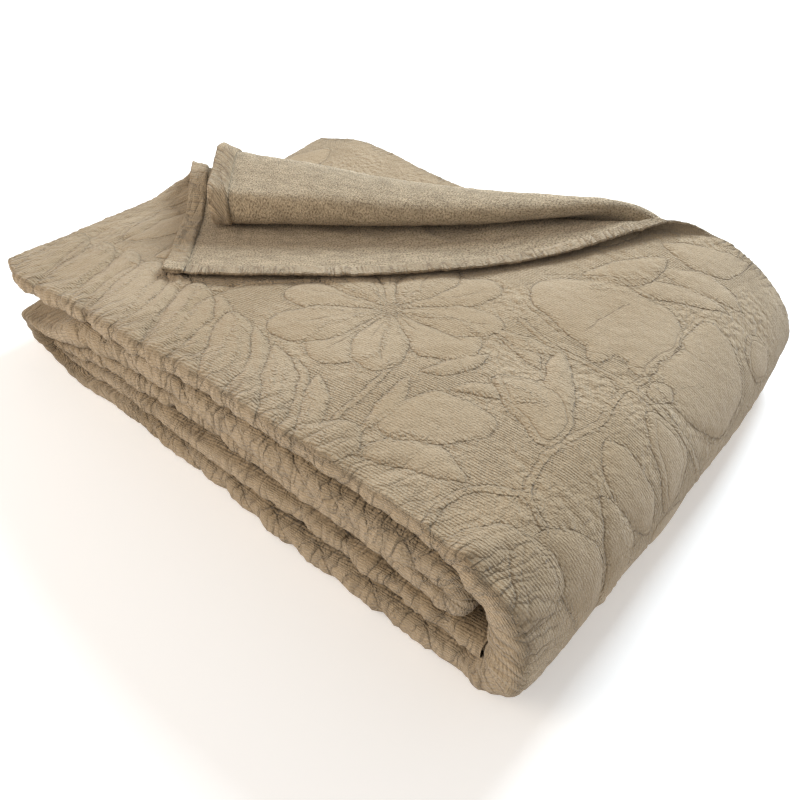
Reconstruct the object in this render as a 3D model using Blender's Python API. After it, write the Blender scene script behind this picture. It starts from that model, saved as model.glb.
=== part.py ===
"""Jacquard bedspread, folded for storage with one back corner turned over.

One woven panel is pleated across its width into a long strip of five layers.  The strip is then
folded along its length into five packs that lie on each other: the bottom pack wraps up round
the left end, the top pack comes over the right end, and two packs are tucked inside.
+X runs along the front face from the left end to the right end, +Y goes from the front face to
the back, +Z is up.  The origin is under the middle of the stack, on the surface it lies on.
"""
import math
from collections import namedtuple

import bmesh
import bpy

# Cloth
CLOTH_THICKNESS = 0.0022
LAYERS_IN_PACK = 5
PACK_GAP = -0.0008               # the layers inside a pack are wider apart than this

# Plan of the stack
BACK_Y_AT_ZERO = 0.398          # y of the hem at the back where x is 0
BACK_Y_SLOPE = 0.025            # the back edge is not quite parallel to the front
SKEW_RUN = 0.207                # a skewed pack's back edge comes forward over this run
FRONT_ROUNDING = 0.0086         # how far the front corner of the free top end is drawn in
FRONT_ROUNDING_REACH = 0.0443
LOOP_ROUNDING = 0.022           # and the back corner of the wrapped left end
LOOP_ROUNDING_START_X = -0.435
LOOP_ROUNDING_REACH = 0.072

# Strip section, measured across the strip
NOSE_SQUARENESS = 0.64          # power of the sine and cosine of the front fold, 1 if round
ROLL_RECESS = 0.012             # second fold stays this far inside the hem
INNER_RECESS = 0.025            # fourth fold stays this far inside the second
INNER_FRONT_CLEARANCE = 0.011   # third fold, behind the middle of the rounded front fold
INNER_HEM_CLEARANCE = 0.070     # hidden hem, behind the middle of the rounded front fold

# Turned-over corner of the top pack
TURN_LINE_X = -0.481            # the fold line starts here, near the left end
TURN_LINE_Y = 0.197
TURN_LINE_ANGLE = math.radians(24.9)
TURN_LINE_BOW = 0.655           # it bows forward between its start and this far along it
TURN_LINE_BOW_RUN = 0.440
TURN_INNER_RADIUS = 0.0038      # of the middle of the first layer
TURN_INNER_RADIUS_LEFT = 0.0088
TURN_REFERENCE_RADIUS = 0.0114
TURN_PEEL_HEIGHT = 0.0071       # the cloth lifts off this much before it turns, at the left
TURN_PEEL_RUN = 0.0518
TURN_LAID_HEIGHT = 0.0038       # first layer over itself once it has settled
TURN_SETTLING_RUN = 0.0580
TURN_ROLL_RECESS = 0.0607       # extra recess of the second fold at the left end
TURN_ROLL_RUN = 0.452
TURN_ROLL_PUFF = 0.0078         # the second fold stands this much thicker there
TURN_ROLL_ROUNDING = 0.85       # and reaches out by this share of that, to stay round
TURN_SPREAD_LEFT = 2.323        # the layers loosen at the left of the turn
TURN_SPREAD_RIGHT = 0.875       # and are pressed together at its right
TURN_SPREAD_MIDDLE = -0.158
TURN_SPREAD_ONSET = 0.040
UNDER_RECESS = 0.0357           # lower layers of the free end stay back, at its rear
HIDDEN_RECESS = 0.012           # and the two inner layers this much more
UNDER_RECESS_START_Y = 0.080
UNDER_RECESS_RISE = 0.140
UNDER_RECESS_RUN = 0.350

# Slump of the left end
FOLLOW_END_Y = 0.250            # behind this the loop no longer follows the top pack's end
LOOP_TIP_START_X = -0.385       # left of this it sinks more than the top pack
LOOP_TIP_RUN = 0.100
LOOP_DROP_FRONT = 0.572         # share of its height that the loop loses at its tip
LOOP_DROP_BACK = 0.0453
LOOP_TUCK_FRONT = 0.0590        # how far its underside is drawn in
LOOP_TUCK_BACK = 0.0495
LOOP_TUCK_START_X = -0.286
LOOP_TUCK_RUN = 0.153
TOP_DROP = 0.0237
TOP_DROP_START_X = -0.239
TOP_DROP_RUN = 0.328
TOP_SAG = 0.0058                # its end sinks this much more between front and turn
TOP_SAG_BACK = 0.301
TOP_END_THINNING = 0.0045       # the free end is pressed a little thinner
TOP_END_THINNING_RUN = 0.120

# Softness of the folds
FRONT_WAVE = 0.0022
HEIGHT_WAVE = -0.0604
HEIGHT_LEAN = 0.0275
BACK_END_DROP = 0.367           # share of its height that the right end loses at the back
BACK_END_START_X = -0.131
BACK_END_RUN = 0.201
BACK_END_PULL = 0.0144          # the right end is drawn in at the back
BACK_END_PULL_START_X = -0.0708
BACK_END_PULL_RUN = 0.0608
BACK_END_PULL_POWER = 3.644     # and more so the nearer to the back

Pack = namedtuple("Pack", "name thickness left right front skew cells")
PACKS = {
    pack.name: pack
    for pack in (
        Pack("top", 0.0190, -0.512, -0.036, 0.0000, -0.002, 12),
        Pack("second", 0.0278, -0.489, -0.043, -0.0003, 0.028, 7),
        Pack("third", 0.0210, -0.472, -0.043, 0.0060, 0.020, 6),
        Pack("fourth", 0.0206, -0.472, -0.012, 0.0030, 0.000, 6),
        Pack("bottom", 0.0265, -0.481, -0.027, 0.0001, 0.000, 7),
    )
}
STACKING = ("bottom", "fourth", "third", "second", "top")

# The strip is followed from its free end in the top pack to its inner end in the fourth.
# A turn swells both ways by its swell, and by its filling only towards the packs inside it.
Turn = namedtuple("Turn", "side start end swell filling bulge cells")
ROUTE = (
    "top",
    Turn("right", "top", "bottom", 0.003, 0.011, 0.008, 8),
    "bottom",
    Turn("left", "bottom", "second", 0.000, 0.000, 0.000, 7),
    "second",
    Turn("right", "second", "third", -0.001, 0.000, 0.000, 5),
    "third",
    Turn("left", "third", "fourth", -0.001, 0.000, 0.000, 5),
    "fourth",
)
Station = namedtuple("Station", "part x z heading thickness front back")

# Runs of the section, from the hem that shows at the back to the hidden one.
Run = namedtuple("Run", "name cells extra")
RUNS = (
    Run("first", 10, (1, 2, 4, 5, 6, 7, 9)),
    Run("nose", 5, ()),
    Run("tip", 2, ()),
    Run("lining", 4, ()),
    Run("second", 8, (1, 3, 4, 5, 6)),
    Run("roll", 4, ()),
    Run("third", 8, (2, 3, 4, 5, 7)),
    Run("pleat", 2, ()),
    Run("fourth", 8, (1, 3, 4, 5, 6)),
    Run("turn", 2, ()),
    Run("fifth", 8, (2, 3, 4, 5, 7)),
)
# Cells of a flat layer before and again after those that the turned corner bends
SHARES = {"first": 3, "second": 2, "third": 2, "fourth": 2, "fifth": 2}
TURN_LINES = 4                  # cells that the turned corner bends
LEAST_REACH = 0.030             # the turn keeps this far from either end of a layer


def smooth(value):
    value = min(max(value, 0.0), 1.0)
    return value * value * (3.0 - 2.0 * value)


def pack_heights():
    """Height of the middle of each pack above the floor."""
    heights = {}
    floor = (CLOTH_THICKNESS - PACKS[STACKING[0]].thickness / LAYERS_IN_PACK) / 2
    for name in STACKING:
        heights[name] = floor + PACKS[name].thickness / 2
        floor += PACKS[name].thickness + PACK_GAP
    return heights


HEIGHTS = pack_heights()
LOOP_TOP = HEIGHTS["second"] + PACKS["second"].thickness / 2


def pack_stations(name):
    """Stations along one straight pack, without its last point."""
    pack, height = PACKS[name], HEIGHTS[name]
    leftward = name in ("bottom", "third")
    start, end = (pack.right, pack.left) if leftward else (pack.left, pack.right)
    heading = math.pi if leftward else 0.0
    stations = []
    for i in range(pack.cells):
        x = start + (end - start) * i / pack.cells
        thickness = pack.thickness
        if name == "top":
            thickness -= TOP_END_THINNING * smooth(1.0 - (x - start) / TOP_END_THINNING_RUN)
        back = back_y(x) if name == "top" else loop_back_y(x)
        back -= pack.skew * smooth((x - pack.left) / SKEW_RUN)
        stations.append(Station(name, x, height, heading, thickness, pack.front, back))
    return stations


def turn_stations(turn):
    """Stations round one end of the strip, without the last point."""
    start, end = PACKS[turn.start], PACKS[turn.end]
    rise = HEIGHTS[turn.end] - HEIGHTS[turn.start]
    radius = abs(rise) / 2
    middle = (HEIGHTS[turn.start] + HEIGHTS[turn.end]) / 2
    outward = 1.0 if turn.side == "right" else -1.0
    turning = -1.0 if (turn.side == "right") == (rise < 0) else 1.0
    stations = []
    for i in range(turn.cells):
        share = i / turn.cells
        angle = math.pi * share
        first_x = start.right if turn.side == "right" else start.left
        last_x = end.right if turn.side == "right" else end.left
        reach = (radius - turn.filling / 2) * math.sin(angle)
        x = first_x + (last_x - first_x) * share + outward * reach
        skew = start.skew + (end.skew - start.skew) * share if turn.side == "right" else 0.0
        stations.append(Station(
            turn.start + "_" + turn.end,
            x,
            middle - math.copysign(radius, rise) * math.cos(angle),
            (0.0 if turn.side == "right" else math.pi) + turning * angle,
            start.thickness + (end.thickness - start.thickness) * share
            + (turn.swell + turn.filling) * math.sin(angle),
            start.front + (end.front - start.front) * share - turn.bulge * math.sin(angle),
            loop_back_y(x) - skew,
        ))
    return stations


def strip_stations():
    stations = []
    for leg in ROUTE:
        if isinstance(leg, str):
            stations += pack_stations(leg)
        else:
            stations += turn_stations(leg)
    last = PACKS[ROUTE[-1]]
    stations.append(Station(last.name, last.right, HEIGHTS[last.name], 0.0,
                            last.thickness, last.front, back_y(last.right) - last.skew))
    return stations


def back_y(x):
    return BACK_Y_AT_ZERO + BACK_Y_SLOPE * x


def loop_back_y(x):
    corner = smooth((LOOP_ROUNDING_START_X - x) / LOOP_ROUNDING_REACH)
    return back_y(x) - LOOP_ROUNDING * corner ** 2


def turn_line_bow(along):
    """Offset of the bowed fold line from its straight course."""
    return TURN_LINE_BOW * along * (along - TURN_LINE_BOW_RUN)


def turn_line_y(x):
    run = x - TURN_LINE_X
    along = run / math.cos(TURN_LINE_ANGLE)
    return TURN_LINE_Y + run * math.tan(TURN_LINE_ANGLE) + turn_line_bow(along)


def front_y(station):
    """Front of the rounded fold, which wanders a little along each pack."""
    x, z = station.x, station.z
    wave = math.sin(17.0 * x + 90.0 * z) + 0.6 * math.sin(41.0 * x - 150.0 * z + 1.0)
    y = station.front + FRONT_WAVE * (wave + 1.6) / 1.6
    if station.part == "top":
        corner = (PACKS["top"].left + FRONT_ROUNDING_REACH - x) / FRONT_ROUNDING_REACH
        y += FRONT_ROUNDING * smooth(corner) ** 2
    return y


def layer_lines(name, front, back, line):
    """The y of each line of a flat layer, front to back, gathered where the corner turns."""
    line = max(min(line, back - LEAST_REACH), front + LEAST_REACH)
    reach = min(math.pi * TURN_REFERENCE_RADIUS / math.cos(TURN_LINE_ANGLE),
                TURN_LINES / (TURN_LINES + 1) * (back - line))
    share = SHARES[name]
    ys = [front + (line - front) * i / share for i in range(share)]
    ys += [line + reach * i / TURN_LINES for i in range(TURN_LINES)]
    ys += [line + reach + (back - line - reach) * i / share for i in range(share + 1)]
    return ys


def section(station):
    """Points of the section at one station.

    Each is its y, its depth, the direction of the right side, and 1 for the two inner layers.
    """
    pitch = station.thickness / LAYERS_IN_PACK
    half = station.thickness / 2
    nose_y = front_y(station) + half
    hem_y = station.back
    recess = ROLL_RECESS
    puff = 0.0
    if station.part == "top":
        share = min(max((station.x - PACKS["top"].left) / TURN_ROLL_RUN, 0.0), 1.0)
        recess += TURN_ROLL_RECESS * (1.0 - share * share)
        puff = TURN_ROLL_PUFF * smooth(3.0 * (1.0 - share))
    rounding = TURN_ROLL_ROUNDING * puff
    roll_y = hem_y - recess - rounding
    inner_y = roll_y - INNER_RECESS
    pleat_y = nose_y + INNER_FRONT_CLEARANCE
    hidden_y = nose_y + INNER_HEM_CLEARANCE
    line = turn_line_y(station.x)
    if station.part != "top":
        line = 0.6 * hem_y
    points = []

    def flat(name, front, back, layer, side, backwards, sag=0.0, inner=0.0):
        ys = layer_lines(name, front, back, line)
        for y in (reversed(ys) if backwards else ys):
            depth = layer * pitch
            if sag:
                depth += sag * smooth((y - back + 0.060) / 0.060)
            points.append((y, depth, 0.0, -side, inner))

    def arc(y, depth, radius, first, last, cells, side, stretch=0.0, inner=0.0, power=1.0,
            reach=0.0):
        for i in range(1, cells):
            a = first + (last - first) * i / cells
            out = math.copysign(abs(math.cos(a)) ** power, math.cos(a))
            down = math.copysign(abs(math.sin(a)) ** power, math.sin(a))
            points.append((y + (radius + reach) * out, depth + (radius + stretch) * down,
                           side * math.cos(a), side * math.sin(a), inner))

    quarter = math.pi / 2
    flat("first", nose_y, hem_y, 0.5, 1, True)
    arc(nose_y, half, 2 * pitch, -quarter, -3 * quarter, 5, 1, power=NOSE_SQUARENESS)
    points.append((nose_y, 4.5 * pitch, 0.0, 1.0, 0.0))
    arc(nose_y, 4 * pitch, 0.5 * pitch, quarter, -quarter, 2, 1)
    points.append((nose_y, 3.5 * pitch, 0.0, -1.0, 0.0))
    arc(nose_y, half, pitch, quarter, 3 * quarter, 4, -1)
    flat("second", nose_y, roll_y, 1.5, -1, False)
    arc(roll_y, 3 * pitch + puff / 2, 1.5 * pitch, -quarter, quarter, 4, -1, puff / 2,
        reach=rounding)
    flat("third", pleat_y, roll_y, 4.5, 1, True, puff)
    arc(pleat_y, 4 * pitch, 0.5 * pitch, quarter, 3 * quarter, 2, -1)
    flat("fourth", pleat_y, inner_y, 3.5, -1, False, inner=1.0)
    arc(inner_y, 3 * pitch, 0.5 * pitch, quarter, -quarter, 2, -1, inner=1.0)
    flat("fifth", hidden_y, inner_y, 2.5, 1, True, inner=1.0)
    return points


def top_sink(x, y):
    """How far the top pack's left end sinks."""
    sag = math.sin(math.pi * min(max(y / TOP_SAG_BACK, 0.0), 1.0))
    return (TOP_DROP + TOP_SAG * sag) * smooth((TOP_DROP_START_X - x) / TOP_DROP_RUN)


def slump(station, x, y, z):
    """Let the left end sink: the wrapped loop follows the top pack, and its tip sinks more."""
    if station.part == "top":
        return x, z - top_sink(x, y)
    level = min(max(z / LOOP_TOP, 0.0), 1.0)
    back = y / BACK_Y_AT_ZERO
    behind = (y - FOLLOW_END_Y) / (BACK_Y_AT_ZERO - FOLLOW_END_Y)
    follow = top_sink(x, y) * (1.0 - smooth(behind)) / LOOP_TOP
    tip = smooth((LOOP_TIP_START_X - x) / LOOP_TIP_RUN)
    drop = LOOP_DROP_FRONT + (LOOP_DROP_BACK - LOOP_DROP_FRONT) * back
    tuck = LOOP_TUCK_FRONT + (LOOP_TUCK_BACK - LOOP_TUCK_FRONT) * back
    tuck *= smooth((LOOP_TUCK_START_X - x) / LOOP_TUCK_RUN)
    return x + tuck * (1.0 - level), z * (1.0 - follow - (drop - follow) * tip)


def settle(x, y, z):
    """Uneven softness of the stack, none at the floor; the right end gives at the back."""
    wave = HEIGHT_WAVE * math.sin(9.0 * x + 5.0 * y) * math.sin(7.0 * y - 4.0 * x + 0.8)
    lean = HEIGHT_LEAN * (x + 0.24) / 0.24
    back = max(y / BACK_Y_AT_ZERO, 0.0)
    end = BACK_END_DROP * smooth((x - BACK_END_START_X) / BACK_END_RUN) * back
    pull = BACK_END_PULL * smooth((x - BACK_END_PULL_START_X) / BACK_END_PULL_RUN)
    return x - pull * back ** BACK_END_PULL_POWER, z * (1.0 + wave + lean - end)


def turn_corner(station, x, y, depth, offset, inner):
    """Roll the back left corner of the top pack over the slanting line."""
    along_x, along_y = math.cos(TURN_LINE_ANGLE), math.sin(TURN_LINE_ANGLE)
    normal_x, normal_y = -along_y, along_x
    pitch = station.thickness / LAYERS_IN_PACK
    below = depth - 0.5 * pitch
    inward = smooth(1.0 - (x - PACKS["top"].left) / UNDER_RECESS_RUN)
    rear = smooth((y - UNDER_RECESS_START_Y) / UNDER_RECESS_RISE)
    recess = UNDER_RECESS * smooth(2 * below / pitch - 0.5) + HIDDEN_RECESS * inner
    x += recess * inward * rear
    run_x, run_y = x - TURN_LINE_X, y - TURN_LINE_Y
    along = run_x * along_x + run_y * along_y
    away = run_x * normal_x + run_y * normal_y - turn_line_bow(along)
    loose = (1.0 - min(max(along / TURN_LINE_BOW_RUN, 0.0), 1.0)) ** 2
    peel = TURN_PEEL_HEIGHT * loose * smooth(1.0 + away / TURN_PEEL_RUN) ** 2
    if away <= 0.0:
        return x, y, peel - below - offset
    spread = TURN_SPREAD_RIGHT + (TURN_SPREAD_LEFT - TURN_SPREAD_RIGHT) * loose
    spread += 4 * TURN_SPREAD_MIDDLE * (math.sqrt(loose) - loose)
    below *= 1.0 + (spread - 1.0) * smooth(away / TURN_SPREAD_ONSET)
    widening = (TURN_INNER_RADIUS_LEFT - TURN_INNER_RADIUS) * loose
    middle = TURN_INNER_RADIUS + widening
    radius = middle + below + offset
    reference = TURN_REFERENCE_RADIUS + widening
    angle = min(away / reference, math.pi)
    beyond = max(away - math.pi * reference, 0.0)
    shift = radius * math.sin(angle) - beyond - away
    rise = peel + middle - radius * math.cos(angle)
    spare = 2 * middle + peel - TURN_LAID_HEIGHT
    rise -= spare * smooth(beyond / TURN_SETTLING_RUN)
    return x + shift * normal_x, y + shift * normal_y, rise


def folded_point(station, point, side):
    """World place of one point of the panel, on its right side or on its reverse."""
    y, depth, normal_y, normal_depth, inner = point
    y += side * CLOTH_THICKNESS / 2 * normal_y
    offset = side * CLOTH_THICKNESS / 2 * normal_depth
    if station.part == "top":
        first_layer = 0.5 * station.thickness / LAYERS_IN_PACK
        x, y, rise = turn_corner(station, station.x, y, depth, offset, inner)
        x, z = slump(station, x, y, station.z + station.thickness / 2 - first_layer)
        x, z = settle(x, y, z)
        return x, y, z + rise
    height = station.thickness / 2 - depth - offset
    x = station.x - math.sin(station.heading) * height
    z = station.z + math.cos(station.heading) * height
    x, z = slump(station, x, y, z)
    x, z = settle(x, y, z)
    return x, y, z


def extra_rows():
    """Rows of the panel that only the top pack needs."""
    rows = set()
    first = 0
    for run in RUNS:
        rows.update(first + k for k in run.extra)
        first += run.cells
    return rows


def flat_panel(columns, rows):
    """A slab of unit cells, one thick: x counts columns, y counts rows, z is the side."""
    mesh = bmesh.new()
    bmesh.ops.create_grid(mesh, x_segments=columns, y_segments=rows, size=0.5)
    for vert in mesh.verts:
        vert.co.x = round((vert.co.x + 0.5) * columns)
        vert.co.y = round((vert.co.y + 0.5) * rows)
    bmesh.ops.solidify(mesh, geom=mesh.faces[:], thickness=1.0)
    bmesh.ops.recalc_face_normals(mesh, faces=mesh.faces[:])
    return mesh


def thin_out(mesh, first_column, last_column):
    """Drop the extra rows from the columns past the top pack."""
    spare = extra_rows()
    edges = []
    for edge in mesh.edges:
        a, b = (vert.co for vert in edge.verts)
        along = a.y == b.y and a.y in spare and a.z == b.z and a.x != b.x
        end = a.y == b.y and a.y in spare and a.x == b.x == last_column
        if (along and min(a.x, b.x) >= first_column) or end:
            edges.append(edge)
    bmesh.ops.dissolve_edges(mesh, edges=edges, use_verts=True)
    for face in [face for face in mesh.faces if len(face.verts) > 4]:
        fan_out(face, first_column)


def fan_out(face, column):
    """Cut a face with extra corners on one column into a quad and triangles."""
    far = sorted((v for v in face.verts if v.co.x != column), key=lambda v: v.co.y)
    near = sorted((v for v in face.verts if v.co.x == column), key=lambda v: v.co.y)
    middle = len(near) // 2
    cuts = [(far[0], vert) for vert in near[1:middle]]
    cuts += [(far[-1], vert) for vert in reversed(near[middle:-1])]
    for a, b in cuts:
        part = next(f for f in a.link_faces if b in f.verts)
        bmesh.utils.face_split(part, a, b)


def fabric_material():
    material = bpy.data.materials.new("matelasse_cotton")
    material.use_nodes = True
    shader = material.node_tree.nodes["Principled BSDF"]
    shader.inputs["Base Color"].default_value = (0.46, 0.37, 0.26, 1.0)
    shader.inputs["Roughness"].default_value = 0.9
    shader.inputs["Metallic"].default_value = 0.0
    return material


def build_bedspread(collection):
    stations = strip_stations()
    sections = [section(station) for station in stations]
    rows = sum(run.cells for run in RUNS)
    mesh = flat_panel(len(stations) - 1, rows)
    thin_out(mesh, PACKS["top"].cells, len(stations) - 1)
    for vert in mesh.verts:
        column, row = int(vert.co.x), int(vert.co.y)
        side = 1.0 if vert.co.z == 0.0 else -1.0
        vert.co = folded_point(stations[column], sections[column][row], side)
    middle = [(min(v.co[k] for v in mesh.verts) + max(v.co[k] for v in mesh.verts)) / 2
              for k in (0, 1)]
    for vert in mesh.verts:
        vert.co.x -= middle[0]
        vert.co.y -= middle[1]
    if mesh.calc_volume(signed=True) < 0.0:
        bmesh.ops.reverse_faces(mesh, faces=mesh.faces[:])
    data = bpy.data.meshes.new("bedspread_cloth")
    mesh.to_mesh(data)
    mesh.free()
    data.materials.append(fabric_material())
    data.shade_smooth()
    cloth = bpy.data.objects.new("bedspread_cloth", data)
    collection.objects.link(cloth)
    return cloth


def main():
    for old in list(bpy.data.objects):
        bpy.data.objects.remove(old, do_unlink=True)
    collection = bpy.data.collections.new("jacquard_bedspread")
    bpy.context.scene.collection.children.link(collection)
    build_bedspread(collection)


main()
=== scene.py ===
import math
from collections import namedtuple
from functools import lru_cache

import bmesh
import bpy
import numpy as np
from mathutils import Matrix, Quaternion, Vector, noise


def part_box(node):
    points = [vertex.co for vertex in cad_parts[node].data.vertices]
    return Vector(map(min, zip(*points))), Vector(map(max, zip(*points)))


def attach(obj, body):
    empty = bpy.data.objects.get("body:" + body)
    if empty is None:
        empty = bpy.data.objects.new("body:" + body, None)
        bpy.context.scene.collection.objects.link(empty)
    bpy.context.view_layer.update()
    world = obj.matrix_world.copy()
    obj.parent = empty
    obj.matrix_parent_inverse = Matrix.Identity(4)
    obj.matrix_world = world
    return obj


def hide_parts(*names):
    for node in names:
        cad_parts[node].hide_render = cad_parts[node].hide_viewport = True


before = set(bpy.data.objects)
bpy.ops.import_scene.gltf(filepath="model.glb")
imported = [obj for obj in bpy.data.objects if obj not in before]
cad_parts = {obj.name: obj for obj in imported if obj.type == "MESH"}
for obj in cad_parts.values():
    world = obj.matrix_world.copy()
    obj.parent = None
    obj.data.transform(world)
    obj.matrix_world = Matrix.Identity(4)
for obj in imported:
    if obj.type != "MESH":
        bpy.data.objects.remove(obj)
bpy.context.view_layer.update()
print("frame loaded")


# The folds, in the same sizes as the solid that the cloth replaces, in metres.
folds = {
    "clothThickness": 0.0022,
    "layersInPack": 5,
    "packGap": -0.0008,      # the layers inside a pack are wider apart than this
    "backAtZero": 0.398,
    "backSlope": 0.0250,
    "skewRun": 0.207,
    "frontRounding": 0.0086,
    "frontRoundingReach": 0.0443,
    "loopRounding": 0.022,
    "loopRoundingStartX": -0.435,
    "loopRoundingReach": 0.072,
    "frontWave": 0.0022,
    "noseSquareness": 0.64,
    "rollRecess": 0.012,
    "innerRecess": 0.025,
    "innerFrontClearance": 0.011,
    "innerHemClearance": 0.070,
    "endThinning": 0.0045,
    "endThinningRun": 0.120,
    "sagRun": 0.060,         # the roll's fullness goes this far into the flap behind it
}
turnOver = {                 # the back left corner, rolled forward over a slanting line
    "lineX": -0.481,
    "lineY": 0.197,
    "lineAngle": math.radians(24.9),
    "bow": 0.655,
    "bowRun": 0.440,
    "innerRadius": 0.0038,
    "innerRadiusLeft": 0.0088,
    "referenceRadius": 0.0114,
    "peelHeight": 0.0071,
    "peelRun": 0.0518,
    "laidHeight": 0.0038,
    "settlingRun": 0.0580,
    "rollRecess": 0.0607,
    "rollRun": 0.452,
    "rollPuff": 0.0078,
    "rollRounding": 0.85,
    "spreadLeft": 2.323,
    "spreadRight": 0.875,
    "spreadMiddle": -0.158,
    "spreadOnset": 0.040,
    "underRecess": 0.0357,
    "hiddenRecess": 0.012,
    "recessStartY": 0.080,
    "recessRise": 0.140,
    "recessRun": 0.350,
}
slumping = {                 # the left end sinks, the right end gives at the back
    "followEnd": 0.250,      # behind this the loop no longer follows the top pack's end
    "tipStartX": -0.385,     # left of this it sinks more than the top pack
    "tipRun": 0.100,
    "dropFront": 0.572,
    "dropBack": 0.0453,
    "tuckFront": 0.0590,
    "tuckBack": 0.0495,
    "tuckStartX": -0.286,
    "tuckRun": 0.153,
    "topDrop": 0.0237,
    "topDropStartX": -0.239,
    "topSag": 0.0058,
    "sagBack": 0.301,
    "pullPower": 3.644,
    "topDropRun": 0.328,
    "heightWave": -0.0604,
    "heightLean": 0.0275,
    "leanFromX": 0.24,
    "backEndDrop": 0.367,
    "backEndStartX": -0.131,
    "backEndRun": 0.201,
    "backEndPull": 0.0144,
    "pullStartX": -0.0708,
    "pullRun": 0.0608,
}
packRow = namedtuple("packRow", "thickness left right front skew cells")
packs = {
    "top": packRow(0.0190, -0.512, -0.036, 0.0000, -0.002, 24),
    "second": packRow(0.0278, -0.489, -0.043, -0.0003, 0.028, 18),
    "third": packRow(0.0210, -0.472, -0.043, 0.0060, 0.020, 8),
    "fourth": packRow(0.0206, -0.472, -0.012, 0.0030, 0.000, 8),
    "bottom": packRow(0.0265, -0.481, -0.027, 0.0001, 0.000, 8),
}
stacking = ("bottom", "fourth", "third", "second", "top")
turnRow = namedtuple("turnRow", "side start end swell filling bulge cells")
route = (
    "top",
    turnRow("right", "top", "bottom", 0.003, 0.011, 0.008, 8),
    "bottom",
    turnRow("left", "bottom", "second", 0.000, 0.000, 0.000, 8),
    "second",
    turnRow("right", "second", "third", -0.001, 0.000, 0.000, 6),
    "third",
    turnRow("left", "third", "fourth", -0.001, 0.000, 0.000, 6),
    "fourth",
)
runRow = namedtuple("runRow", "name cells")
# across the strip, from the hem that shows to the hidden one
runs = [runRow(*run) for run in (
    ("first", 18), ("nose", 5), ("tip", 2), ("lining", 4), ("second", 16), ("roll", 4),
    ("third", 16), ("pleat", 2), ("fourth", 12), ("turn", 2), ("fifth", 10))]
hem = {
    "sideWidth": 0.0130,     # along the strip's long edge
    "endWidth": 0.0200,      # across its free end
    "bendRadius": 0.0010,
    "pressedEdge": 0.0020,   # the raw edge is stitched down over this much
}


def smooth(value):
    value = min(max(value, 0.0), 1.0)
    return value * value * (3.0 - 2.0 * value)


def between(start, end, share):
    return start + (end - start) * share


def packHeights():
    heights = {}
    floor = (folds["clothThickness"] - packs[stacking[0]].thickness / folds["layersInPack"]) / 2
    for name in stacking:
        heights[name] = floor + packs[name].thickness / 2
        floor += packs[name].thickness + folds["packGap"]
    return heights


heightOf = packHeights()
loopTop = heightOf["second"] + packs["second"].thickness / 2
reverseLegs = ("bottom", "third")    # the strip runs to the left in these


def legRun(leg):
    # cells and length of one leg, a turn's along its outermost layer
    if isinstance(leg, str):
        return packs[leg].cells, packs[leg].right - packs[leg].left
    reach = abs(heightOf[leg.end] - heightOf[leg.start]) / 2 + packs[leg.start].thickness / 2
    return leg.cells, math.pi * reach


def layOutLegs():
    # first column, first length and the leg itself, for each leg of the strip
    rows, column, length = [], 0, 0.0
    for leg in route:
        cells, run = legRun(leg)
        rows.append((column, length, cells, run, leg))
        column += cells
        length += run
    return rows, column, length


legRows, columnCount, stripLength = layOutLegs()
rowCount = sum(run.cells for run in runs)


def backAt(x, part="top"):
    corner = smooth((folds["loopRoundingStartX"] - x) / folds["loopRoundingReach"])
    inset = 0.0 if part == "top" else folds["loopRounding"] * corner ** 2
    return folds["backAtZero"] + folds["backSlope"] * x - inset


def packStation(name, share):
    pack = packs[name]
    start, end = (pack.right, pack.left) if name in reverseLegs else (pack.left, pack.right)
    x = between(start, end, share)
    thickness = pack.thickness
    if name == "top":
        thickness -= folds["endThinning"] * smooth(1.0 - (x - start) / folds["endThinningRun"])
    back = backAt(x, name) - pack.skew * smooth((x - pack.left) / folds["skewRun"])
    return {"part": name, "x": x, "z": heightOf[name], "thickness": thickness, "back": back,
            "heading": math.pi if name in reverseLegs else 0.0, "front": pack.front}


def turnStation(turn, share):
    start, end = packs[turn.start], packs[turn.end]
    low, high = heightOf[turn.start], heightOf[turn.end]
    radius = abs(high - low) / 2
    onRight = turn.side == "right"
    outward = 1.0 if onRight else -1.0
    turning = -1.0 if onRight == (high < low) else 1.0
    firstX, lastX = (start.right, end.right) if onRight else (start.left, end.left)
    angle = math.pi * share
    swing = math.sin(angle)
    x = between(firstX, lastX, share) + outward * (radius - turn.filling / 2) * swing
    skew = between(start.skew, end.skew, share) if onRight else 0.0
    return {"part": turn.start + "_" + turn.end, "x": x, "back": backAt(x, "turn") - skew,
            "z": (low + high) / 2 - math.copysign(radius, high - low) * math.cos(angle),
            "heading": (0.0 if onRight else math.pi) + turning * angle,
            "thickness": between(start.thickness, end.thickness, share)
            + (turn.swell + turn.filling) * swing,
            "front": between(start.front, end.front, share) - turn.bulge * swing}


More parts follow.
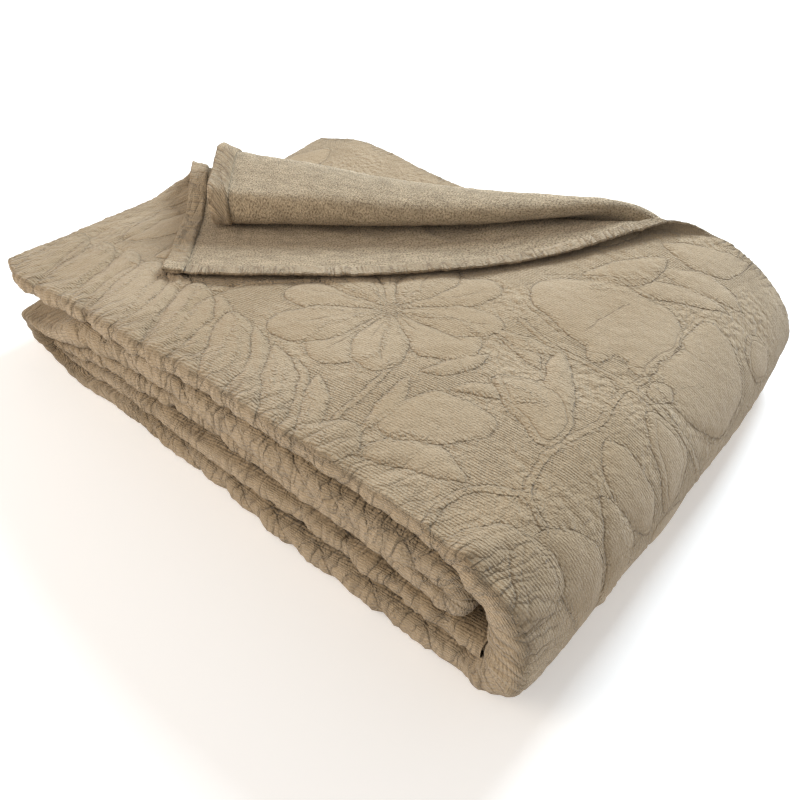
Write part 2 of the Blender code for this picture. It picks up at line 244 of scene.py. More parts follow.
@lru_cache(maxsize=None)
def stationAt(column):
    # everything about the strip at one place along it, with the sizes of its section there
    for first, length, cells, run, leg in reversed(legRows):
        if column >= first:
            break
    share = (column - first) / cells
    station = packStation(leg, share) if isinstance(leg, str) else turnStation(leg, share)
    station["along"] = length + run * share
    x, z = station["x"], station["z"]
    wave = math.sin(17.0 * x + 90.0 * z) + 0.6 * math.sin(41.0 * x - 150.0 * z + 1.0)
    front = station["front"] + folds["frontWave"] * (wave + 1.6) / 1.6
    recess, puff = folds["rollRecess"], 0.0
    if station["part"] == "top":
        left = packs["top"].left
        corner = (left + folds["frontRoundingReach"] - x) / folds["frontRoundingReach"]
        front += folds["frontRounding"] * smooth(corner) ** 2
        share = min(max((x - left) / turnOver["rollRun"], 0.0), 1.0)
        recess += turnOver["rollRecess"] * (1.0 - share * share)
        puff = turnOver["rollPuff"] * smooth(3.0 * (1.0 - share))
    pitch = station["thickness"] / folds["layersInPack"]
    half = station["thickness"] / 2
    nose = front + half
    hemY = station["back"]
    rounding = turnOver["rollRounding"] * puff
    roll = hemY - recess - rounding
    inner = roll - folds["innerRecess"]
    pleat = nose + folds["innerFrontClearance"]
    hidden = nose + folds["innerHemClearance"]
    down = math.pi / 2
    # flats: side, inner, layer, near y, far y, sag
    # arcs: side, inner, y, depth, radius, first angle, last angle, stretch, reach
    station["sections"] = {
        "first": (1, 0.0, 0.5, hemY, nose, 0.0),
        "nose": (1, 0.0, nose, half, 2 * pitch, -down, -3 * down, 0.0, 0.0),
        "tip": (1, 0.0, nose, 4 * pitch, pitch / 2, down, -down, 0.0, 0.0),
        "lining": (-1, 0.0, nose, half, pitch, down, 3 * down, 0.0, 0.0),
        "second": (-1, 0.0, 1.5, nose, roll, 0.0),
        "roll": (-1, 0.0, roll, 3 * pitch + puff / 2, 1.5 * pitch, -down, down, puff / 2,
                 rounding),
        "third": (1, 0.0, 4.5, roll, pleat, puff),
        "pleat": (-1, 0.0, pleat, 4 * pitch, pitch / 2, down, 3 * down, 0.0, 0.0),
        "fourth": (-1, 1.0, 3.5, pleat, inner, 0.0),
        "turn": (-1, 1.0, inner, 3 * pitch, pitch / 2, down, -down, 0.0, 0.0),
        "fifth": (1, 1.0, 2.5, inner, hidden, 0.0),
    }
    station["pitch"] = pitch
    station["frontFold"] = hemY - nose + math.pi * pitch
    return station


def sectionPoint(station, row):
    # y, depth, direction of the right side, inner, length across from the hem, and the run
    pitch, across = station["pitch"], 0.0
    for run in runs:
        side, inner, *sizes = station["sections"][run.name]
        isFlat = len(sizes) == 4
        if isFlat:
            layer, near, far, sag = sizes
            length = abs(far - near)
        else:
            yc, dc, radius, first, last, stretch, reach = sizes
            length = math.pi * (radius + (reach + stretch) / 2)
        if row <= run.cells:
            break
        across += length
        row -= run.cells
    share = row / run.cells
    across += length * share
    if isFlat:
        y = between(near, far, share)
        outer = near if run.name in ("third", "first", "fifth") else far
        sag *= smooth((folds["sagRun"] - abs(y - outer)) / folds["sagRun"])
        return y, layer * pitch + sag, 0.0, -side, inner, across, run.name
    a = between(first, last, share)
    out, up = math.cos(a), math.sin(a)
    if run.name == "nose":
        out, up = (math.copysign(abs(way) ** folds["noseSquareness"], way) for way in (out, up))
    return (yc + (radius + reach) * out, dc + (radius + stretch) * up,
            side * math.cos(a), side * math.sin(a), inner, across, run.name)


def turnLineBow(along):
    return turnOver["bow"] * along * (along - turnOver["bowRun"])


def turnCorner(station, x, y, depth, offset, inner):
    # roll the back left corner of the top pack over the slanting line
    alongX, alongY = math.cos(turnOver["lineAngle"]), math.sin(turnOver["lineAngle"])
    normalX, normalY = -alongY, alongX
    pitch = station["pitch"]
    below = depth - 0.5 * pitch
    inward = smooth(1.0 - (x - packs["top"].left) / turnOver["recessRun"])
    rear = smooth((y - turnOver["recessStartY"]) / turnOver["recessRise"])
    recess = turnOver["underRecess"] * smooth(2 * below / pitch - 0.5)
    x += (recess + turnOver["hiddenRecess"] * inner) * inward * rear
    runX, runY = x - turnOver["lineX"], y - turnOver["lineY"]
    along = runX * alongX + runY * alongY
    away = runX * normalX + runY * normalY - turnLineBow(along)
    loose = (1.0 - min(max(along / turnOver["bowRun"], 0.0), 1.0)) ** 2
    peel = turnOver["peelHeight"] * loose * smooth(1.0 + away / turnOver["peelRun"]) ** 2
    if away <= 0.0:
        return x, y, peel - below - offset
    spread = between(turnOver["spreadRight"], turnOver["spreadLeft"], loose)
    spread += 4 * turnOver["spreadMiddle"] * (math.sqrt(loose) - loose)
    below *= between(1.0, spread, smooth(away / turnOver["spreadOnset"]))
    widening = (turnOver["innerRadiusLeft"] - turnOver["innerRadius"]) * loose
    centre = turnOver["innerRadius"] + widening
    radius = centre + below + offset
    reference = turnOver["referenceRadius"] + widening
    angle = min(away / reference, math.pi)
    beyond = max(away - math.pi * reference, 0.0)
    shift = radius * math.sin(angle) - beyond - away
    settled = smooth(beyond / turnOver["settlingRun"])
    rise = peel + centre - radius * math.cos(angle)
    rise -= (2 * centre + peel - turnOver["laidHeight"]) * settled
    return x + shift * normalX, y + shift * normalY, rise


def endShare(name, x, side=1.0):
    # rises from 0 to 1 to the left of the named place, or with -1 to the right of it
    return smooth(side * (slumping[name + "StartX"] - x) / slumping[name + "Run"])


def frontToBack(name, back):
    return between(slumping[name + "Front"], slumping[name + "Back"], back)


def topSink(x, y):
    sag = math.sin(math.pi * min(max(y / slumping["sagBack"], 0.0), 1.0))
    return (slumping["topDrop"] + slumping["topSag"] * sag) * endShare("topDrop", x)


def slump(station, x, y, z):
    if station["part"] == "top":
        return x, z - topSink(x, y)
    level = min(max(z / loopTop, 0.0), 1.0)
    back = y / folds["backAtZero"]
    behind = (y - slumping["followEnd"]) / (folds["backAtZero"] - slumping["followEnd"])
    follow = topSink(x, y) * (1.0 - smooth(behind)) / loopTop
    tuck = frontToBack("tuck", back) * endShare("tuck", x)
    tip = (frontToBack("drop", back) - follow) * endShare("tip", x)
    return x + tuck * (1.0 - level), z * (1.0 - follow - tip)


def settle(x, y, z):
    wave = math.sin(9.0 * x + 5.0 * y) * math.sin(7.0 * y - 4.0 * x + 0.8)
    lean = slumping["heightLean"] * (x / slumping["leanFromX"] + 1.0)
    back = max(y / folds["backAtZero"], 0.0)
    sunk = slumping["backEndDrop"] * endShare("backEnd", x, -1.0) * back
    pull = slumping["backEndPull"] * endShare("pull", x, -1.0)
    return (x - pull * back ** slumping["pullPower"],
            z * (1.0 + slumping["heightWave"] * wave + lean - sunk))


def foldedPoint(station, y, depth, normalY, normalDepth, inner, lift):
    # where one point of the cloth lies, lifted from its middle towards its right side
    x, z, rise = station["x"], station["z"], 0.0
    y += lift * normalY
    offset = lift * normalDepth
    if station["part"] == "top":
        x, y, rise = turnCorner(station, x, y, depth, offset, inner)
        z += station["thickness"] / 2 - 0.5 * station["pitch"]
    else:
        height = station["thickness"] / 2 - depth - offset
        x -= math.sin(station["heading"]) * height
        z += math.cos(station["heading"]) * height
    x, z = slump(station, x, y, z)
    x, z = settle(x, y, z)
    return Vector((x, y, z + rise))


# The woven design: figures in one repeat, placed by length along and across the panel.
repeat = {
    "along": 0.64, "across": 0.56, "wobble": 0.0016, "wobbleSize": 0.013,
    "veinMargin": 0.0008, "ribLean": 0.75, "ribFade": 0.004,
}
farOff = 0.05                # a distance past all outlines
noise.seed_set(3)            # otherwise the clock shifts noise_vector at each run
figureRow = namedtuple(
    "figureRow", "layer along across angle length width lead point bend ribs grooves echo",
    defaults=(0, 0, 0))


def inMetres(layer, along, across, angle, length, width, lead, point, bend, *details):
    return figureRow(layer, along / 1000, across / 1000, angle, length / 1000, width / 1000,
                     lead, point, bend, *(size / 1000 for size in details))


# layer, along, across, angle, length, width, lead, point, bend, then the pitch of its ribs or
# grooves and how far outside its outline an echo of it lies; sizes in millimetres
figures = [inMetres(*row) for row in (
    # the poppy's two broad petals, the small lobes under them and the leaves over them
    ("over", 373, 166, -12, 111, 80, 1.35, 0.36, 0.02, 0, 0, 4.5),
    ("under", 505, 195, -97, 98, 69, 0.7, 0.4, 0.17, 0, 0, 4.5),
    ("vein", 429, 188, -83, 56, 3, 1, 0.5, -0.04),
    ("vein", 484, 144, -20, 34, 3, 1, 0.5, 0.1),
    ("vein", 500, 188, -62, 40, 3, 1, 0.5, -0.08),
    ("over", 447, 208, -96, 28, 18, 1.2, 0.5, 0),
    ("over", 474, 195, -94, 28, 21, 1, 0.5, 0),
    ("over", 493, 208, -80, 24, 18, 1.2, 0.5, 0),
    ("under", 405, 138, -34, 110, 22, 1, 0.8, -0.1),
    ("over", 392, 128, -62, 74, 30, 1, 0.7, 0.1, 8.5),
    ("under", 428, 82, -14, 78, 26, 1, 0.8, -0.1),
    ("over", 415, 48, -30, 80, 36, 1, 0.7, 0.12),
    ("over", 534, 97, -90, 36, 36, 1, 0.5, 0, 0, 0, -4.5),
    ("under", 590, 110, -72, 90, 44, 1, 0.65, 0.1),
    # the curled leaf beside the blossom, with its slender leaves
    ("over", 472, 291, 203, 64, 40, 0.9, 0.55, 0.18, 0, 0, -5),
    ("under", 378, 298, -66, 50, 15, 1, 0.7, 0.06, 4.2),
    ("under", 400, 298, -34, 60, 14, 1, 0.7, -0.08, 4.2),
    ("over", 384, 226, -14, 50, 14, 1, 0.8, 0.1),
    ("under", 386, 230, 14, 46, 14, 1, 0.8, -0.1),
    ("over", 428, 212, 52, 68, 19, 1, 0.8, 0.08, 5),
    ("over", 497, 216, 28, 66, 34, 1, 0.6, -0.1, 0, 0, -6),
    ("under", 492, 262, 8, 64, 36, 1, 0.65, 0.1),
    ("over", 512, 296, 24, 70, 30, 1, 0.7, -0.12, 6),
    ("under", 560, 262, -64, 80, 42, 1, 0.6, 0.1),
    # low leaves and bud near the front fold
    ("over", 388, 363, -102, 60, 14, 1, 0.7, 0.04),
    ("over", 393, 353, -48, 70, 44, 1.05, 0.6, -0.1),
    ("under", 396, 376, -24, 64, 26, 1, 0.65, -0.16),
    ("over", 381, 393, -90, 34, 32, 1, 0.5, 0, 0, 5.5),
    ("over", 534, 392, -138, 52, 34, 1, 0.6, 0.16, 0, 0, -6),
    ("under", 502, 352, -8, 70, 40, 1, 0.6, -0.12),
    ("over", 470, 400, -60, 50, 26, 1, 0.7, 0.1, 6),
    ("over", 420, 430, 20, 80, 36, 1, 0.7, 0.12),
    # a fan of long leaves that lean to the right, across the front fold
    ("under", 12, 306, 76, 112, 44, 1, 0.45, -0.1, 0, 8.5),
    ("over", 46, 304, 72, 112, 44, 1, 0.45, -0.1, 0, 8.5),
    ("under", 80, 304, 68, 114, 44, 1, 0.45, -0.11, 0, 8),
    ("over", 114, 306, 64, 116, 44, 1, 0.45, -0.1, 0, 8.5),
    ("under", 146, 308, 60, 116, 42, 1, 0.45, -0.1, 0, 7.5),
    ("over", 176, 312, 57, 112, 40, 1, 0.5, -0.08, 0, 8.5),
    ("under", 206, 318, 53, 108, 36, 1, 0.5, -0.07, 0, 8),
    ("over", 234, 326, 50, 102, 30, 1, 0.5, -0.06, 0, 8),
    ("under", 262, 332, 46, 100, 26, 1, 0.55, -0.05, 0, 8),
    ("over", 288, 336, 47, 90, 22, 1, 0.6, -0.07),
    ("under", 310, 338, 50, 80, 19, 1, 0.6, -0.05),
    ("over", 332, 340, 56, 66, 16, 1, 0.6, -0.06),
    # the other corner of the repeat
    ("over", 52, 292, -88, 92, 56, 1.1, 0.55, 0.06, 0, 0, 4.5),
    ("under", 108, 300, -70, 96, 44, 1, 0.6, 0.1, 8),
    ("over", 168, 288, -96, 110, 50, 1, 0.6, -0.08, 8),
    ("under", 10, 190, -50, 120, 60, 1, 0.6, 0.12),
    ("over", 105, 105, -20, 110, 60, 1.1, 0.55, 0.1, 0, 0, 4.5),
    ("over", 235, 130, -70, 100, 52, 1, 0.6, -0.1, 8),
    ("under", 325, 85, -28, 80, 40, 1, 0.6, 0.1),
    ("over", 150, 455, 24, 110, 56, 1.1, 0.55, 0.1, 0, 0, 4.5),
    ("under", 300, 480, 12, 110, 50, 1, 0.6, -0.1, 8),
    ("over", 520, 470, 30, 110, 60, 1.1, 0.55, 0.12, 0, 0, 4.5),
    ("over", 20, 480, -10, 90, 40, 1, 0.6, 0.12, 8),
)]
blossom = {
    "along": 0.3175, "across": 0.2550, "heart": 0.006,
    # bearing, length and width of each petal
    "petals": ((159, 0.074, 0.036), (124, 0.080, 0.043), (88, 0.070, 0.047), (57, 0.065, 0.038),
               (2, 0.068, 0.046), (-27, 0.072, 0.036), (-63, 0.079, 0.037), (-93, 0.068, 0.038),
               (-134, 0.072, 0.040), (-171, 0.070, 0.034)),
    "stamens": 15, "stamenLength": 0.033, "veinWidth": 0.0030,
}
stems = (                    # each stalk's width and centre line, in millimetres
    (5.5, ((483, 190), (476.5, 220), (481.5, 252), (474, 285), (475, 310), (484, 334),
          (502, 344))),
    (6, ((248, 262), (215, 290), (195, 312), (150, 318), (90, 312), (30, 318))),
    (5.5, ((390, 205), (420, 214), (455, 210), (500, 208), (550, 200), (610, 170))),
    (5.5, ((484, 334), (460, 352), (456, 380), (470, 420))),
    (5, ((360, 300), (366, 330), (370, 365), (380, 410))),
)
creaseLines = (              # the laid top's main creases, in the same way
    (1.1, ((172, 325), (186, 345), (202, 366), (219, 392))),
    (0.8, ((106, 322), (110, 345), (122, 368), (140, 390))),
    (0.8, ((52, 222), (47, 250), (52, 275), (50, 300))),
    (0.7, ((70, 305), (86, 330), (94, 352), (112, 380))),
    (0.7, ((205, 300), (203, 325), (210, 345))),
    (0.8, ((18, 290), (30, 325), (44, 352), (60, 380))),
)


def blossomFigures():
    # petals round one centre, neighbours on different layers, with veins and stamens
    rows = []

    def add(layer, reach, bearing, angle, *sizes):
        a = math.radians(bearing)
        rows.append(figureRow(layer, blossom["along"] + reach * math.cos(a),
                              blossom["across"] + reach * math.sin(a), angle, *sizes))

    for i, (angle, length, width) in enumerate(blossom["petals"]):
        add("over" if i % 2 else "under", blossom["heart"], angle, angle, length, width, 1.55,
            0.50, 0.05 * math.sin(5.1 * i))
        reach = blossom["heart"] + (0.35 + 0.12 * math.sin(3.1 * i)) * length
        add("vein", reach, angle, angle + 6 * math.sin(7.7 * i), 0.50 * length,
            blossom["veinWidth"], 1.0, 0.5, 0.10 * math.cos(2.3 * i))
    for i in range(blossom["stamens"]):
        angle = 360.0 * i / blossom["stamens"] + 7.0 * math.sin(4.1 * i)
        length = blossom["stamenLength"] * (1.0 + 0.3 * math.sin(2.9 * i))
        add("vein", 0.0, angle, angle, length, blossom["veinWidth"], 1.0, 0.5,
            0.06 * math.sin(3.3 * i))
    return rows


def wrapped(value, centre, period):
    return (value - centre + period / 2) % period - period / 2


def figureField(row, along, across):
    # signed distance to the outline of one figure, positive inside, and the place along it
    a = math.radians(row.angle)
    ds = wrapped(along, row.along, repeat["along"])
    dw = wrapped(across, row.across, repeat["across"])
    t = (ds * math.cos(a) + dw * math.sin(a)) / row.length
    n = -ds * math.sin(a) + dw * math.cos(a)
    n = n - row.bend * row.length * 4 * t * (1 - t)
    inside = np.clip(t, 1e-4, 1 - 1e-4)
    ripple = 1.0 + 0.05 * np.sin(14.0 * inside + 3.0 * row.angle)
    base = np.sin(math.pi * inside ** row.lead)
    half = 0.5 * row.width * base ** row.point * ripple
    slope = (0.5 * row.width * row.point * base ** (row.point - 1)
             * np.cos(math.pi * inside ** row.lead) * math.pi * row.lead
             * inside ** (row.lead - 1) / row.length)
    near = (half - np.abs(n)) / np.sqrt(1 + slope ** 2)
    over = np.maximum(np.maximum(-t, t - 1), 0) * row.length
    return np.where(over > 0, -np.hypot(over, n), near), t, n


def smoothPath(points):
    # a curve through the points, as short straight pieces
    knots = [Vector(point) / 1000 for point in (points[0], *points, points[-1])]
    path = []
    for before, a, b, after in zip(knots, knots[1:], knots[2:], knots[3:]):
        for t in (k / 6 for k in range(6)):
            t2, t3 = t * t, t * t * t
            path.append(a * (2 * t3 - 3 * t2 + 1) + (b - before) / 2 * (t3 - 2 * t2 + t)
                        + b * (3 * t2 - 2 * t3) + (after - a) / 2 * (t3 - t2))
    return path + [knots[-1]]


def lineField(lines, along, across):
    # signed distance to the edge of the nearest line, each a width and its points
    best = np.full(along.shape, -farOff)
    for width, points in lines:
        path = smoothPath(points)
        for p, q in zip(path, path[1:]):
            ds = wrapped(along, p.x, repeat["along"])
            dw = wrapped(across, p.y, repeat["across"])
            ex, ey = q - p
            share = np.clip((ds * ex + dw * ey) / (ex * ex + ey * ey), 0, 1)
            best = np.maximum(best, width / 2000 - np.hypot(ds - share * ex, dw - share * ey))
    return best


def wobbled(along, across):
    # nothing on washed cloth keeps a true line
    reach, size = repeat["wobble"], repeat["wobbleSize"]
    places = [Vector((a / size, b / size, 7.0)) for a, b in zip(along, across)]
    shift = np.array([noise.noise_vector(place)[:2] for place in places])
    fine = np.array([noise.noise_vector(place * 3.1)[:2] for place in places])
    shift = reach * (shift + 0.35 * fine)
    return along + shift[:, 0], across + shift[:, 1]


def nearestLine(best, line):
    # signed distance to the nearest of the thin lines, so that it is 0 right on them
    np.copyto(best, line, where=np.abs(line) < np.abs(best))


def wovenDesign(along, across):
    # the fields of all the figures: two layers of outlines, the stalks, veins and leaf ribs
    along, across = wobbled(along, across)
    fields = {name: np.full(along.shape, -farOff) for name in ("over", "under")}
    fields["vein"] = np.full(along.shape, farOff)
    ribs = np.zeros(along.shape)
    for row in figures + blossomFigures():
        field, t, n = figureField(row, along, across)
        if row.layer == "vein":
            nearestLine(fields["vein"], np.where(field > -repeat["veinMargin"], n, farOff))
        else:
            fields[row.layer] = np.maximum(fields[row.layer], field)
        if row.echo:
            nearestLine(fields["vein"], field + row.echo)
        if row.ribs or row.grooves:
            slanting = t * row.length - repeat["ribLean"] * np.abs(n)
            phase = slanting / row.ribs if row.ribs else n / row.grooves
            wave = 0.5 - 0.5 * np.cos(2 * math.pi * phase)
            ribs = np.where(field > 0, wave * np.clip(field / repeat["ribFade"], 0, 1), ribs)
    return {**fields, "veinNear": np.abs(fields["vein"]), "stem": lineField(stems, along, across),
            "crease": lineField(creaseLines, along, across)}, ribs


# The cloth's surface is cut fine where it shows and left coarse inside the stack.
legStart = [row[0] for row in legRows] + [columnCount]
runStart = [sum(run.cells for run in runs[:i]) for i in range(len(runs) + 1)]
legs = list(zip(legStart, legStart[1:]))
noseRows = (runStart[1], runStart[3])
rollRows = (runStart[5], runStart[6])
flapRows = (runStart[5] - 3, runStart[6] + 9)
refinements = (              # direction, columns, rows, cuts
    ("along", (-1, 0), (-1, noseRows[1]), 11),
    ("along", (-1, 0), flapRows, 11),
    ("along", (0, legStart[1]), (-1, noseRows[1]), 8),
    ("along", legs[1], (-1, noseRows[1]), 7),
    ("along", legs[2], noseRows, 15),
    ("along", legs[3], (0, noseRows[1]), 3),
    ("along", legs[4], noseRows, 8),
    ("along", (legStart[4], legStart[4] + 10), (0, 9), 7),
    ("along", legs[5], noseRows, 3),
    ("along", legs[6], noseRows, 15),
    ("along", legs[7], noseRows, 3),
    ("along", legs[8], noseRows, 15),
    ("along", (0, 22), flapRows, 4),
    ("across", (-1, legStart[2]), (0, runStart[1]), 9),
    ("across", legs[3], (9, runStart[1]), 4),
    ("across", (legStart[3], legStart[4] + 10), (0, 9), 6),
    ("across", (-1, columnCount), noseRows, 1),
    ("across", (-1, columnCount), (-1, 0), 7),
    ("across", (-1, 22), (flapRows[0], rollRows[0]), 6),
    ("across", (-1, 22), rollRows, 2),
    ("across", (-1, 22), (rollRows[1], flapRows[1]), 6),
    ("across", (-1, 1), (flapRows[0], rollRows[0]), 1),
    ("across", (-1, 1), (rollRows[1], flapRows[1]), 1),
)


def refine(mesh, way, columns, rows, cuts):
    edges = []
    for edge in mesh.edges:
        a, b = edge.verts[0].co, edge.verts[1].co
        x, y = (a.x + b.x) / 2, (a.y + b.y) / 2
        isAlong = abs(a.x - b.x) > abs(a.y - b.y)
        if isAlong != (way == "along"):
            continue
        if columns[0] - 0.01 < x < columns[1] + 0.01 and rows[0] - 0.01 < y < rows[1] + 0.01:
            edges.append(edge)
    bmesh.ops.subdivide_edges(mesh, edges=edges, cuts=cuts)


def panelLattice():
    # the flat panel counted in columns and rows, with a hem beyond 0 each way
    mesh = bmesh.new()
    bmesh.ops.create_grid(mesh, x_segments=columnCount + 1, y_segments=rowCount + 1, size=0.5)
    for vert in mesh.verts:
        vert.co.x = round((vert.co.x + 0.5) * (columnCount + 1)) - 1
        vert.co.y = round((vert.co.y + 0.5) * (rowCount + 1)) - 1
    for row in refinements:
        refine(mesh, *row)
    return mesh


relief = {
    "valleyDepth": 0.0007,
    "valleyWidth": 0.0019,
    "creaseDepth": 0.0018,
    "creaseWidth": 0.0034,
    "figurePuff": 0.0014,
    "groundPuff": 0.0002,
    "puffReach": 0.0080,
    "ribHeight": 0.0009,
    "groundFade": 0.003,
    "softWave": 0.0012,
    "softWaveAlong": 0.085,
    "softWaveAcross": 0.070,
    "groundCrinkle": 0.0007,     # small bulges between creases, on the ground alone
    "groundCrinkleSize": 0.0105,
    "foldReach": 0.022,          # how far from a fold its puckers fade
    "foldSlant": 0.35,
    "sideHemReach": 0.009,
    "endReach": 0.14,            # the free end is wrinkled this far in
    "endRise": 0.10,
    "endHemReach": 0.020,
    "flapHemReach": 0.018,
    "cornerReach": 0.028,
    "cornerOffset": 0.004,
    "cornerBefore": 0.02,        # the right turn is crumpled from this far before it
    "cornerRise": 0.05,
    "cornerAfter": 0.05,         # to this far behind it
    "cornerFall": 0.06,
}
puckerRow = namedtuple("puckerRow", "height spacing length seed middle")
puckers = {
    "roll": puckerRow(0.0005, 0.0140, 0.060, 4.0, 0.00),
    "flapHem": puckerRow(0.0010, 0.0085, 0.050, 15.0, 0.70),
    "fold": puckerRow(0.0015, 0.0180, 0.080, 11.0, 0.80),
    "fineFold": puckerRow(0.0003, 0.0075, 0.030, 12.0, 0.70),
    "sideHem": puckerRow(0.0010, 0.0058, 0.040, 13.0, 0.70),
    "end": puckerRow(0.0011, 0.0170, 0.110, 14.0, 0.70),
    "endHem": puckerRow(0.0007, 0.0065, 0.040, 15.0, 0.70),
    "corner": puckerRow(0.0032, 0.0340, 0.070, 16.0, 0.75),
    "turnedHem": puckerRow(0.0005, 0.0058, 1.000, 13.0, 0.00),
}


def creases(a, b, seed):
    # 0 in a sharp crease, 1 on the round bulge between two creases
    return min(2.4 * abs(noise.noise(Vector((a, b, seed)))), 1.0)


def pucker(name, a, b):
    row = puckers[name]
    return row.height * (creases(a / row.spacing, b / row.length, row.seed) - row.middle)


def fading(distance, reach):
    return math.exp(-(distance / reach) ** 2)


def puckerLift(point):
    # cross puckers at the folds and hems, and the soft unevenness of washed cloth
    s, w, fold = point["along"], point["across"], point["fromFold"]
    lift = relief["softWave"] * noise.noise(
        Vector((s / relief["softWaveAlong"], w / relief["softWaveAcross"], 2.0)))
    if point["run"] in ("roll", "second", "third"):
        return (lift + pucker("roll", s, w)
                + fading(max(s, 0.0), relief["flapHemReach"]) * pucker("flapHem", w, s))
    reach = relief["foldReach"]
    if fold < 0:                 # uneven on the top, where it shows most
        reach *= 1.35 + 0.9 * noise.noise(Vector((s / 0.040, 0.0, 6.0)))
    slant = s + relief["foldSlant"] * fold
    lift += fading(fold, reach) * (pucker("fold", slant, fold) + pucker("fineFold", slant, fold))
    if point["edge"] < 0.020:
        lift += fading(point["edge"], relief["sideHemReach"]) * pucker("sideHem", s, w)
    if s < relief["endReach"]:
        lift += smooth((relief["endReach"] - s) / relief["endRise"]) * pucker("end", s, w)
        lift += fading(max(s, 0.0), relief["endHemReach"]) * pucker("endHem", w, s)
    if point["corner"] > 0:
        lift += (point["corner"] * fading(fold - relief["cornerOffset"], relief["cornerReach"])
                 * pucker("corner", s, fold))
    return lift


def crinkleField(points):
    # rounded cells with creases between them
    size = relief["groundCrinkleSize"]
    cells = []
    for point in points:
        s, w = point["along"] / size, point["across"] / size
        bend = noise.noise_vector(Vector((0.4 * s, 0.4 * w, 21.0)))
        near = noise.voronoi(Vector((s + bend.x, w + bend.y, 5.0)))[0]
        cells.append(min(1.6 * (near[1] - near[0]), 1.0) - 0.6)
    return np.array(cells)


def quiltLift(fields, ribs, crinkles):
    # figures stand up between stitched-down valleys, the ground a little less
    over, vein = fields["over"], fields["vein"]
    under = np.where(over < 0, np.minimum(fields["under"], -over), -farOff)
    hidden = np.maximum(over, under)
    stem = np.where(hidden < 0, np.minimum(fields["stem"], -hidden), -farOff)
    inside = np.maximum(hidden, stem)
    lines = 0.0                  # distance, depth and width of each kind of valley
    for distance, depth, wide in ((over, 1.0, 1.0),
                                  (np.where(over < 0, fields["under"], 1.0), 1.0, 1.0),
                                  (np.where(hidden < 0, fields["stem"], 1.0), 0.8, 0.8),
                                  (vein, 0.5, 0.6)):
        valley = np.exp(-(distance / (relief["valleyWidth"] * wide)) ** 2)
        lines = np.maximum(lines, depth * valley)
    puff = np.where(inside > 0, relief["figurePuff"], relief["groundPuff"])
    puff = puff * (1 - np.exp(-np.abs(inside) / relief["puffReach"]))
    fold = np.exp(-(np.minimum(fields["crease"], 0.0) / relief["creaseWidth"]) ** 2)
    bare = np.clip(-inside / relief["groundFade"], 0, 1)
    return (puff - relief["valleyDepth"] * lines - relief["creaseDepth"] * fold
            + relief["ribHeight"] * ribs + relief["groundCrinkle"] * bare * crinkles)


def hemTurn(length, width):
    # how far in from the edge, and how far under, a turned strip lies at one length of it
    radius = hem["bendRadius"]
    bend = math.pi * radius
    if length < bend:
        reach, drop = -radius * math.sin(length / radius), radius * (1 - math.cos(length / radius))
    else:
        reach, drop = length - bend, 2 * radius
    pressed = smooth((length - bend - width + hem["pressedEdge"]) / hem["pressedEdge"])
    return reach, drop * (1.0 - 0.75 * pressed)


def clothPoint(column, row):
    # one lattice point: its station and section, its flat place, and what shapes it there
    under, endLength, sideLength, corner = 0.0, 0.0, 0.0, 0.0
    if column < 0:
        endLength = -column * (hem["endWidth"] + math.pi * hem["bendRadius"])
        reach, under = hemTurn(endLength, hem["endWidth"])
        column = reach * packs["top"].cells / (packs["top"].right - packs["top"].left)
    station = stationAt(round(column, 6))
    if row < 0:
        sideLength = -row * (hem["sideWidth"] + math.pi * hem["bendRadius"])
        reach, drop = hemTurn(sideLength, hem["sideWidth"])
        near, far = station["sections"]["first"][3:5]
        row = reach * runs[0].cells / (near - far)
        under += drop
    *section, across, run = sectionPoint(station, row)
    along = station["along"]
    if station["part"] in ("top", "top_bottom", "bottom"):
        first, length = legRows[1][1], legRows[1][3]
        corner = smooth((along - first + relief["cornerBefore"]) / relief["cornerRise"])
        corner *= smooth((first + length + relief["cornerAfter"] - along) / relief["cornerFall"])
    return {
        "station": station, "section": section, "run": run, "along": along, "across": across,
        "under": under, "corner": corner, "edge": abs(across),
        "fromFold": across - station["frontFold"],
        "flat": (-endLength if endLength else along, -sideLength if sideLength else across),
    }


def foldedCloth():
    mesh = panelLattice()
    print("lattice of", len(mesh.faces), "faces")
    points = [clothPoint(vert.co.x, vert.co.y) for vert in mesh.verts]
    fields, ribs = wovenDesign(*(np.array([point[way] for point in points])
                                 for way in ("along", "across")))
    quilt = quiltLift(fields, ribs, crinkleField(points))
    print("design laid out")
    for vert, point, raised in zip(mesh.verts, points, quilt):
        lift = -point["under"]
        shown = point["run"] in ("first", "nose", "tip")
        flap = point["run"] in ("second", "roll", "third") and point["station"]["part"] == "top"
        if shown or flap:
            lift += puckerLift(point)
        if shown:
            lift += raised
            if point["under"]:
                lift -= pucker("turnedHem", point["along"] + point["across"], 0.0)
        vert.co = foldedPoint(point["station"], *point["section"], lift)
        vert.co.z = max(vert.co.z, 0.0)
    return mesh, points, fields


def panelSize():
    # the hemmed panel laid flat: across at the middle of a plain pack, along the middle layer
    across = sectionPoint(stationAt((legStart[2] + legStart[3]) / 2), float(rowCount))[5]
    turns = [packs[leg.start].thickness for leg in route if not isinstance(leg, str)]
    return across, stripLength - math.pi / 2 * sum(turns)


def placeInFrame(mesh):
    # the folds are laid out from the front edge; the frame's box says where they belong
    low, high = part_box("bedspread_cloth")
    stations = [stationAt(float(column)) for column in range(columnCount + 1)]
    edges = [foldedPoint(station, *sectionPoint(station, float(row))[:5],
                         side * folds["clothThickness"] / 2)
             for station in stations for row in range(rowCount + 1) for side in (-1, 1)]
    for k in (0, 1):
        middle = (min(p[k] for p in edges) + max(p[k] for p in edges)) / 2
        for vert in mesh.verts:
            vert.co[k] += (low[k] + high[k]) / 2 - middle


